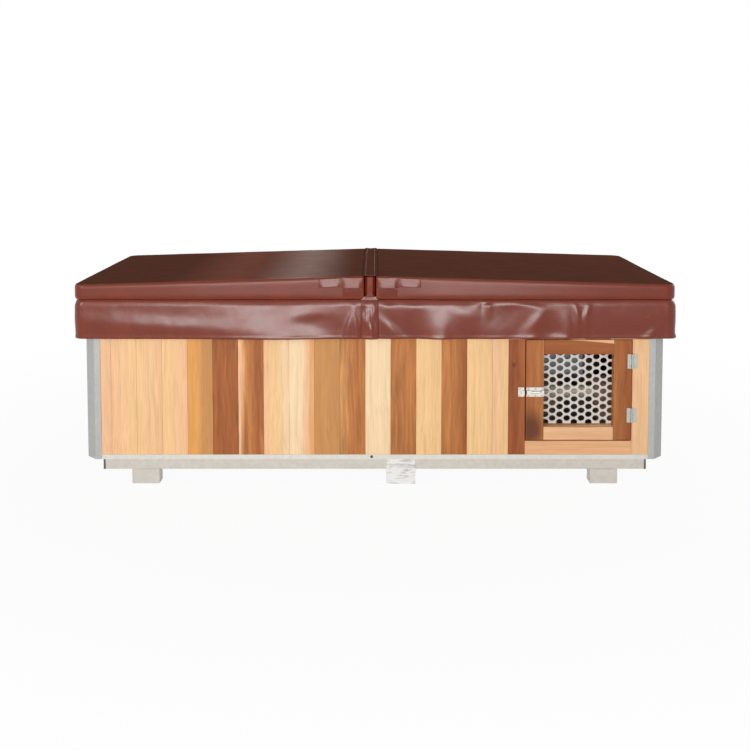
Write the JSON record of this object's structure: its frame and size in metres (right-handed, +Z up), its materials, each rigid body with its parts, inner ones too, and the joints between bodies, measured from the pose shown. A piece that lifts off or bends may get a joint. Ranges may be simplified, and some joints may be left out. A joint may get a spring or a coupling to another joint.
{
  "type": "cold plunge tub",
  "caption": "Long cedar-clad chilled soaking tub on metal skids, with a folding padded vinyl cover and a hinged service door with a perforated vent grille.",
  "frame": {"origin": "on the floor, under the middle of the overall box", "axes": "+X along the tub towards the service door's end, -Y is the front with the door, +Z up"},
  "size_m": [2.284, 0.9272, 0.8166],
  "materials": {
    "stainless": "brushed",
    "aluminium_trim": "mill, satin",
    "hardware": "zinc plated",
    "cedar": "clear oiled cedar, mixed sapwood and heartwood",
    "cedar_dark": "clear oiled cedar heartwood",
    "timber": "raw",
    "acrylic": "gloss white",
    "foam": "rigid insulation foam",
    "pvc": "off-white pipe",
    "black_plastic": "moulded",
    "blue_plastic": "moulded",
    "grey_plastic": "moulded",
    "fins": "finned",
    "enamel": "black enamel",
    "grille": "off-white coated",
    "padded_vinyl": "brown marine vinyl over foam",
    "vinyl": "brown marine vinyl"
  },
  "bodies": {
    "cabinet": {"base_rail_front": "stainless", "base_rail_rear": "stainless", "skid_left": "stainless", "skid_centre": "stainless", "skid_right": "stainless", "floor_pan": "aluminium_trim", "corner_post_front_left": "aluminium_trim", "corner_post_front_right": "aluminium_trim", "corner_post_rear_left": "aluminium_trim", "corner_post_rear_right": "aluminium_trim", "rim_rail_front": "timber", "rim_rail_rear": "timber", "front_cladding": "cedar", "rear_cladding": "cedar", "left_cladding": "cedar", "right_cladding": "cedar", "door_jamb_left": "cedar_dark", "door_jamb_right": "cedar", "door_sill": "cedar", "tub_basin": "acrylic", "insulation_jacket": "foam", "partition_panel": "timber", "suction_fitting": "pvc", "return_fitting": "pvc", "suction_pipe": "pvc", "filter_pipe": "pvc", "circulation_pump": "black_plastic", "filter_housing": "blue_plastic", "heat_exchanger": "stainless", "drain_valve": "hardware", "condenser_coil": "fins", "fan_motor": "black_plastic", "compressor": "enamel", "controller_box": "grey_plastic", "power_gland": "black_plastic", "hinge_upper_frame_leaf": "hardware", "hinge_upper_pin": "hardware", "hinge_lower_frame_leaf": "hardware", "hinge_lower_pin": "hardware", "bolt_keeper": "hardware"},
    "cover_left": {"cover_left_panel": "padded_vinyl", "cover_left_skirt": "vinyl", "cover_fold_hinge": "vinyl", "handle_left": "vinyl"},
    "cover_right": {"cover_right_panel": "padded_vinyl", "cover_right_skirt": "vinyl", "handle_right": "vinyl"},
    "door": {"door_stile_left": "cedar_dark", "door_stile_right": "cedar_dark", "door_top_rail": "cedar_dark", "door_bottom_rail": "cedar", "door_grille": "grille", "hinge_upper_door_leaf": "hardware", "hinge_lower_door_leaf": "hardware", "bolt_base": "hardware"},
    "bolt": {"bolt_rod": "hardware"},
    "fan": {"fan_blade": "black_plastic"},
    "lid": {"filter_lid": "black_plastic"},
    "lever": {"drain_lever": "hardware"},
    "dial": {"thermostat_knob": "black_plastic"}
  },
  "joints": [
    {"name": "cover_lift", "type": "slide", "parent": "cabinet", "child": "cover_left", "axis": [0, 0, 1], "range_m": [0, 0.3]},
    {"name": "cover_fold", "type": "hinge", "parent": "cover_left", "child": "cover_right", "pos_m": [-0.018, 0.00565, 0.8183], "axis": [0, -1, 0], "range_deg": [0, 180]},
    {"name": "door_swing", "type": "hinge", "parent": "cabinet", "child": "door", "pos_m": [0.9896, -0.42785, 0.367], "axis": [0, 0, 1], "range_deg": [0, 115]},
    {"name": "bolt_slide", "type": "slide", "parent": "door", "child": "bolt", "axis": [-1, 0, 0], "range_m": [0, 0.02]},
    {"name": "fan_spin", "type": "hinge", "parent": "cabinet", "child": "fan", "pos_m": [0.71, 0.30385, 0.2654], "axis": [0, 1, 0], "continuous": true},
    {"name": "filter_lid_turn", "type": "hinge", "parent": "cabinet", "child": "lid", "pos_m": [0.915, 0.15565, 0.53], "axis": [0, 0, 1], "range_deg": [0, 60]},
    {"name": "drain_lever_turn", "type": "hinge", "parent": "cabinet", "child": "lever", "pos_m": [0.585, 0.00565, 0.247], "axis": [0, 0, 1], "range_deg": [0, 90]},
    {"name": "thermostat_turn", "type": "hinge", "parent": "cabinet", "child": "dial", "pos_m": [0.5753, -0.3508, 0.4654], "axis": [0, -1, 0], "range_deg": [-135, 135]}
  ]
}
